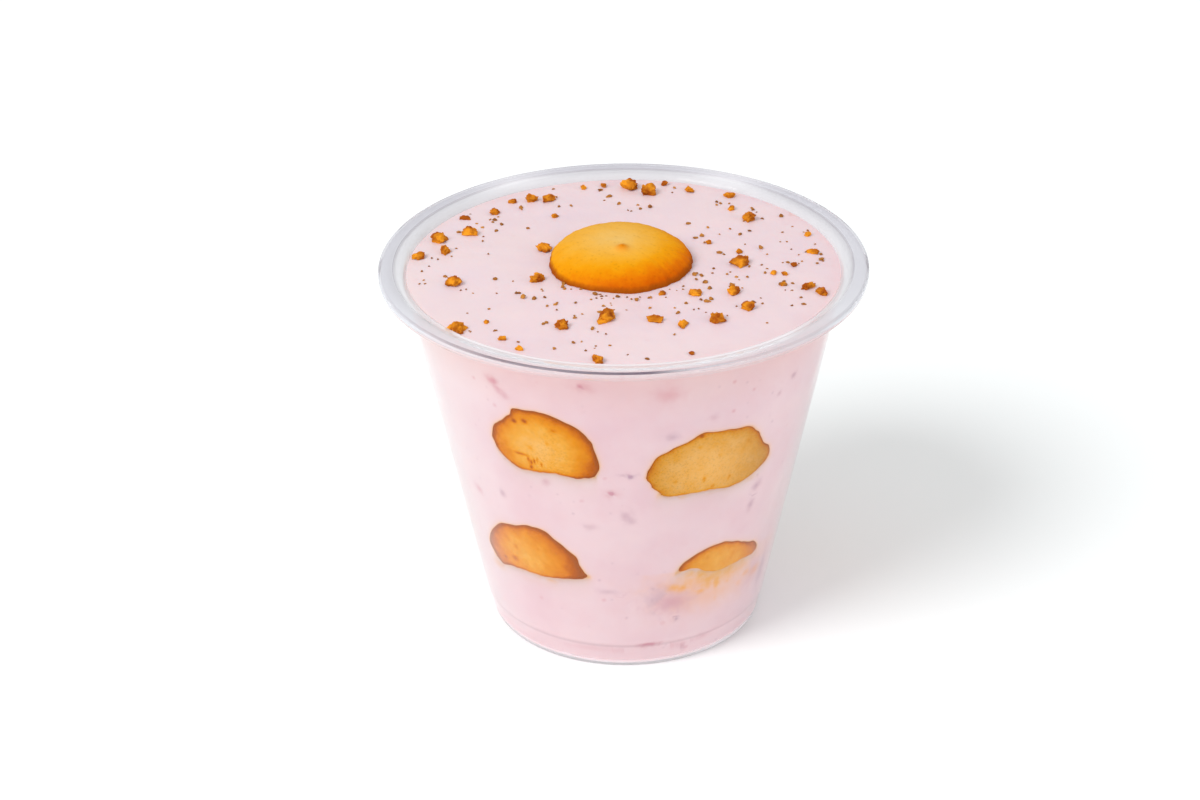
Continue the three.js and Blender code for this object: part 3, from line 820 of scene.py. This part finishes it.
def cream(tree, sides, mottle):
    """Pale pink, slowly mottled, paler on the left as painted light from the lamp's side, paler in the
    foot, with a painted shade line above it.
    """
    colour = blend(tree, mottle, PUDDING_PALE, PUDDING_ROSY)
    # Painted light: paler on the left, towards the lamp.
    lit_left = ranged(tree, sides["X"], -18 * MM, -38 * MM, 0.0, 0.6)
    colour = blend(tree, lit_left, colour, PUDDING_LIT_LEFT)
    in_foot = ranged(tree, sides["Z"], 7 * MM, 4.5 * MM, 0.0, 0.6)
    colour = blend(tree, in_foot, colour, PUDDING_FOOT)
    # Painted shade: a darker line at the wall's step of the foot line.
    off_line = maths(tree, "ABSOLUTE", maths(tree, "SUBTRACT", sides["Z"], FOOT_LINE_HEIGHT))
    shade_lined = ranged(tree, off_line, 0.5 * MM, 0.15 * MM, 0.0, 0.4)
    return blend(tree, shade_lined, colour, FOOT_LINE_SHADE)


def with_specks(tree, place, ragged, colour):
    """Fine bits of fruit all through the cream, in three sizes."""
    for scale, size, amount, tone in FRUIT_SPECKS:
        bits = node(tree, "TexVoronoi", Vector=place, Scale=scale).outputs
        distance = maths(tree, "MULTIPLY_ADD", ragged, 0.16, bits["Distance"])
        near = ranged(tree, distance, size + 0.1, 0.09, 0.0, amount)
        some = node(tree, "SeparateColor", Color=bits["Color"]).outputs[0]
        shown = maths(tree, "MULTIPLY", near, ranged(tree, some, 0.6, 0.95))
        colour = blend(tree, shown, colour, tone)
    return colour


def with_wafers(tree, ragged, colour):
    """A warm seam round each bare face, and wafer that shines through where the cream is thin."""
    colour = blend(tree, fading(tree, kept(tree, "from_bare"), 0.75, 0.25), colour, WARM_SEAM)
    from_cover = kept(tree, "from_cover")
    thin = maths(tree, "ADD", fading(tree, from_cover, 0.6, 0.5), fading(tree, from_cover, 0.2, 2.0))
    veil = maths(tree, "MAXIMUM", thin, kept(tree, "veil"))
    cloudy = ranged(tree, ragged, 0.3, 0.7, 0.85, 1.15)
    return blend(tree, maths(tree, "MULTIPLY", veil, cloudy, clamp=True), colour, VEILED_WAFER)


def with_smears(tree, ragged, colour):
    """The larger bits of fruit on the wall, and two darker purple-grey patches, frayed and soft."""
    fruit = node(tree, "Attribute", {"attribute_name": "fruit"}).outputs["Vector"]
    aside = node(tree, "SeparateXYZ", Vector=fruit).outputs
    flat = node(tree, "CombineXYZ", i0=aside[0], i1=aside[1]).outputs[0]
    away = node(tree, "VectorMath", {"operation": "LENGTH"}, i0=flat).outputs["Value"]
    away = maths(tree, "MULTIPLY", away, ranged(tree, ragged, 0.3, 0.7, 0.7, 1.3))
    soft = fading(tree, maths(tree, "MULTIPLY", away, away), 1.0, 1.1)
    smear = maths(tree, "MULTIPLY", soft, maths(tree, "MULTIPLY", aside[2], 1.4), clamp=True)
    juice = blend(tree, kept(tree, "purple"), FRUIT_PINK, FRUIT_PURPLE)
    return blend(tree, smear, colour, juice)


def with_top(tree, height, mottle, colour):
    """The paler top with a touch of lilac, its paleness partly painted light that evens out how the top
    and the side are lit, and the painted shade of the lip on the side under it.
    """
    above = ranged(
        tree, height, PUDDING_EDGE_HEIGHT - 0.1 * MM, PUDDING_EDGE_HEIGHT + 0.1 * MM, 0.0, 0.75
    )
    # Partly painted light: the top paler than the side.
    colour = blend(tree, above, colour, blend(tree, mottle, PUDDING_TOP, TOP_LILAC))
    on_side = maths(tree, "LESS_THAN", height, PUDDING_EDGE_HEIGHT)
    under_lip = maths(tree, "MULTIPLY", ranged(tree, height, 60 * MM, 70 * MM), on_side)
    return blend(tree, under_lip, colour, UNDER_LIP_SHADE, "MULTIPLY")


def strawberry_pudding():
    """Pale pink cream: slow mottling, fine fruit specks, smears of fruit and veiled wafers."""
    material, tree, shader, place = new_material("strawberry_pudding", 0.4)
    cloud = node(tree, "TexNoise", Vector=place, Scale=70.0, Detail=5.0, Roughness=0.65)
    mottle = ranged(tree, cloud.outputs["Fac"], 0.38, 0.7, 0.0, 0.7)
    ragged = node(tree, "TexNoise", Vector=place, Scale=700.0, Detail=2.0).outputs["Fac"]
    sides = node(tree, "SeparateXYZ", Vector=place).outputs
    colour = cream(tree, sides, mottle)
    colour = with_specks(tree, place, ragged, colour)
    colour = with_wafers(tree, ragged, colour)
    colour = with_smears(tree, ragged, colour)
    colour = with_top(tree, sides["Z"], mottle, colour)
    tree.links.new(colour, shader.inputs["Base Color"])
    swirl = node(tree, "TexNoise", Vector=place, Scale=220.0, Detail=3.0)
    roughen(tree, shader, swirl, 0.12, 0.6 * MM)
    for name, value in SOFTNESS.items():
        shader.inputs["Subsurface " + name].default_value = value
    shader.inputs["Specular IOR Level"].default_value = 0.5
    return material


pudding = spun("strawberry_pudding", pudding_profile(), PUDDING_STEPS)
pudding.data.materials.append(strawberry_pudding())
spread_top(pudding)
cut_round(pudding, [*ring_wafers, top_wafer])
bpy.ops.object.select_all(action="DESELECT")
pudding.select_set(True)
bpy.ops.object.shade_smooth_by_angle(angle=SHARP_PUDDING_EDGE)
paint_fruit(pudding)
paint_veil(pudding)
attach(pudding, "root")
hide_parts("pudding")


# Crumbs: wafers rubbed between the fingers over the cup. The larger lumps are laid one by one, and the
# dust falls at random round them. All lie a little sunk in the soft top.
# Each lump: its place right of and behind the axis, and its width, in mm.
CRUMBS = [
    (-35, 12.5, 3.6), (-29.5, 15.5, 2.8), (-34, 7, 2.4), (-38.6, 5.2, 2.2), (-17.5, 31, 2.4),
    (-14.5, 30.5, 2.4), (-21.5, 30, 1.8), (-25, 25, 1.8), (1.5, 36.5, 3.2), (5.5, 33.5, 3.4),
    (13.5, 35, 1.8), (21.5, 31.5, 2), (24.5, 20, 2.7), (22, -0.5, 3.2), (20, -12.5, 2.6),
    (22.5, -19, 2.5), (34, -10, 2), (36.5, -12, 2), (36, 5, 1.9), (16.5, -23.5, 2.9),
    (10.5, -25.5, 1.8), (5.5, -23.5, 2.2), (-3.5, -22.5, 3.1), (-11.5, -25, 2.4), (-5, -38, 2.5),
    (-31.5, -7, 2.7), (-30.6, -25.9, 3), (-15.8, -6.5, 2.6), (-15, 7, 2.2), (22, 4.8, 1.3),
    (8.7, 38, 1.6), (-30.5, 22.5, 1.7), (13, -13, 2.1), (7, -13, 1.4), (28, -4.5, 1.3),
    (30, -4.7, 1.3), (32, -1, 1.3), (29.5, -9, 1.3), (16.5, 9, 1.3), (11.5, -36, 1.1),
    (-13, 22, 1.4), (21.5, 25, 1.6), (-7.5, 36.5, 1.4), (-3.5, 37.5, 1.4), (35.5, 13, 1.5),
    (-22, -29.5, 1.4), (-19, -33.5, 1.4), (-25, -23, 1.2),
]
DUST = [
    {"count": 40, "from_r": 14.2, "to_r": 24, "from_turn": -170, "to_turn": 10},
    {"count": 22, "from_r": 13.4, "to_r": 15.5, "from_turn": -165, "to_turn": -5},
    {"count": 75, "from_r": 17, "to_r": 39, "from_turn": -60, "to_turn": 60},
    {"count": 42, "from_r": 24, "to_r": 39, "from_turn": 60, "to_turn": 180},
    {"count": 42, "from_r": 16, "to_r": 39, "from_turn": -180, "to_turn": -60},
]
CRUMB_DARK = (0.34, 0.075, 0.003, 1)
CRUMB_GOLD = (0.78, 0.30, 0.014, 1)
# The dust's tones are darker than the lumps', partly painted shade round such small grains.
DUST_DARK_AND_SHADE = (0.24, 0.085, 0.02, 1)
DUST_GOLD_AND_SHADE = (0.5, 0.21, 0.04, 1)
SHARP_CRUMB_EDGE = math.radians(50)
BREAKS = 8
CRUMB_ROUGHNESS = 0.32
CRUMB_FULLNESS = 1.12
COARSE_CRUMB = 1.7
CRUMB_LIFT = 0.12
GRAIN_LIFT = 0.1
FINEST_GRAIN = 0.45
GRAIN_SPREAD = 0.75
dice = random.Random(12)


def crumb_lump(name, width, rounds):
    """One crumb: a ball broken off flat on several sides, with a rough skin."""
    bpy.ops.object.select_all(action="DESELECT")
    bpy.ops.mesh.primitive_ico_sphere_add(subdivisions=rounds, radius=1)
    lump = bpy.context.object
    lump.name = name
    breaks = []
    for _ in range(BREAKS):
        away = Vector((dice.gauss(0, 1), dice.gauss(0, 1), dice.gauss(0, 0.7))).normalized()
        breaks.append((away, dice.uniform(0.5, 0.85)))
    shift = Vector((dice.uniform(0, 9), dice.uniform(0, 9), dice.uniform(0, 9)))
    stretch = Vector((dice.uniform(0.95, 1.35), dice.uniform(0.75, 1), dice.uniform(0.6, 0.85)))
    for vertex in lump.data.vertices:
        spot = vertex.co.copy()
        for away, reach in breaks:
            spot -= away * max(spot.dot(away) - reach, 0)
        rough = noise.fractal(spot * 2.2 + shift, 0.7, 2.1, 4)
        vertex.co = spot * (1 + CRUMB_ROUGHNESS * rough) * stretch * (width / 2 * CRUMB_FULLNESS)
    return lump


def lay_crumb(lump, x, y, lift):
    """Turns a crumb and lays it on the pudding, its middle only a little above the top."""
    turn = Matrix.Rotation(dice.uniform(0, math.tau), 4, "Z")
    place = Matrix.Translation((x, y, top_height(x, y) + lift))
    lump.data.transform(place @ turn)


def joined(lumps, name):
    """Makes one piece of many."""
    bpy.ops.object.select_all(action="DESELECT")
    for lump in lumps:
        lump.select_set(True)
    bpy.context.view_layer.objects.active = lumps[0]
    bpy.ops.object.join()
    piece = bpy.context.object
    piece.name = name
    return piece


def crumb_material(name, dark, gold):
    """Broken baked crumb: gold inside and brown crust, changing from crumb to crumb."""
    material, tree, shader, place = new_material(name, 0.75)
    which = node(tree, "TexNoise", Vector=place, Scale=420.0, Detail=3.0)
    tone = ranged(tree, which.outputs["Fac"], 0.38, 0.63)
    tree.links.new(blend(tree, tone, dark, gold), shader.inputs["Base Color"])
    roughen(tree, shader, node(tree, "TexNoise", Vector=place, Scale=2500.0, Detail=3.0), 0.4, 0.2 * MM)
    shader.inputs["Specular IOR Level"].default_value = 0.1
    return material


lumps = []
for x, y, width in CRUMBS:
    lump = crumb_lump("crumb", width * MM, 4 if width > COARSE_CRUMB else 3)
    lay_crumb(lump, x * MM, y * MM, CRUMB_LIFT * width * MM)
    lumps.append(lump)
large_crumbs = joined(lumps, "large_crumbs")

grains = []
for zone in DUST:
    for _ in range(zone["count"]):
        turn = math.radians(dice.uniform(zone["from_turn"], zone["to_turn"]))
        r = math.sqrt(dice.uniform(zone["from_r"] ** 2, zone["to_r"] ** 2)) * MM
        width = (FINEST_GRAIN + GRAIN_SPREAD * dice.random() ** 2.5) * MM
        grain = crumb_lump("grain", width, 1)
        lay_crumb(grain, r * math.cos(turn), r * math.sin(turn), GRAIN_LIFT * width)
        grains.append(grain)
crumb_dust = joined(grains, "crumb_dust")

large_crumbs.data.materials.append(crumb_material("wafer_crumbs", CRUMB_DARK, CRUMB_GOLD))
# The dust is partly painted shade: darker than the lumps.
crumb_dust.data.materials.append(crumb_material("wafer_dust_and_shade", DUST_DARK_AND_SHADE, DUST_GOLD_AND_SHADE))
for piece in (large_crumbs, crumb_dust):
    bpy.ops.object.select_all(action="DESELECT")
    piece.select_set(True)
    bpy.context.view_layer.objects.active = piece
    bpy.ops.object.shade_smooth_by_angle(angle=SHARP_CRUMB_EDGE)
    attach(piece, "root")


# Floor and light: a plain white sheet, a white room that lights all round, one large soft lamp
# high on the left and a little in front, whose shadow falls to the right and back, and a wide low
# panel in front on the right that lights the cup's side but hardly the floor.
FLOOR_SIZE = 20
FLOOR_WHITE = (0.92, 0.95, 0.95, 1)
FLOOR_PALE = (0.91, 0.94, 0.94, 1)
ROOM_STRENGTH = 0.72
LAMP_DIRECTION = Vector((-0.581, -0.429, 0.692))
LAMP_DISTANCE = 2.5
LAMP_SIZE = 1.3
LAMP_POWER = 42
PANEL_PLACE = Vector((1.05, -0.45, 0.26))
PANEL_SIZE = 0.9
PANEL_POWER = 4.4


def plain_floor():
    """Matt white sheet with a barely uneven grain."""
    material, tree, shader, place = new_material("white_sheet", 0.9)
    grain = node(tree, "TexNoise", Vector=place, Scale=30.0)
    colour = blend(tree, grain.outputs["Fac"], FLOOR_WHITE, FLOOR_PALE)
    tree.links.new(colour, shader.inputs["Base Color"])
    shader.inputs["Specular IOR Level"].default_value = 0
    return material


bpy.ops.object.select_all(action="DESELECT")
bpy.ops.mesh.primitive_plane_add(size=FLOOR_SIZE, location=(0, 0, 0))
floor = bpy.context.object
floor.name = "floor"
floor.data.materials.append(plain_floor())

world = bpy.data.worlds.new("white_room")
bpy.context.scene.world = world
world.use_nodes = True
world.node_tree.nodes["Background"].inputs["Color"].default_value = (1, 1, 1, 1)
world.node_tree.nodes["Background"].inputs["Strength"].default_value = ROOM_STRENGTH

bpy.ops.object.light_add(type="AREA", location=LAMP_DIRECTION * LAMP_DISTANCE)
lamp = bpy.context.object
lamp.name = "soft_lamp"
lamp.data.shape = "DISK"
lamp.data.size = LAMP_SIZE
lamp.data.energy = LAMP_POWER
lamp.rotation_euler = LAMP_DIRECTION.to_track_quat("Z", "Y").to_euler()

bpy.ops.object.light_add(type="AREA", location=PANEL_PLACE)
panel = bpy.context.object
panel.name = "low_panel"
panel.data.shape = "DISK"
panel.data.size = PANEL_SIZE
panel.data.energy = PANEL_POWER
panel.rotation_euler = PANEL_PLACE.to_track_quat("Z", "Y").to_euler()


# Camera: 28 degrees down from in front, turned a hair about its own axis.
CAMERA_PLACE = Vector((-4.71, -470.5, 296.9)) * MM
CAMERA_DOWN = math.radians(28.24)
CAMERA_ROLL = math.radians(-0.74)
CAMERA_LENS = 83.16
CAMERA_SENSOR = 36
CAMERA_NEAREST = 10 * MM
bpy.ops.object.camera_add(location=CAMERA_PLACE)
camera = bpy.context.object
look = Matrix.Rotation(math.pi / 2 - CAMERA_DOWN, 3, "X") @ Matrix.Rotation(CAMERA_ROLL, 3, "Z")
camera.rotation_euler = look.to_euler()
camera.data.lens = CAMERA_LENS
camera.data.sensor_width = CAMERA_SENSOR
camera.data.clip_start = CAMERA_NEAREST
bpy.context.scene.camera = camera
bpy.context.scene.view_settings.view_transform = "Standard"
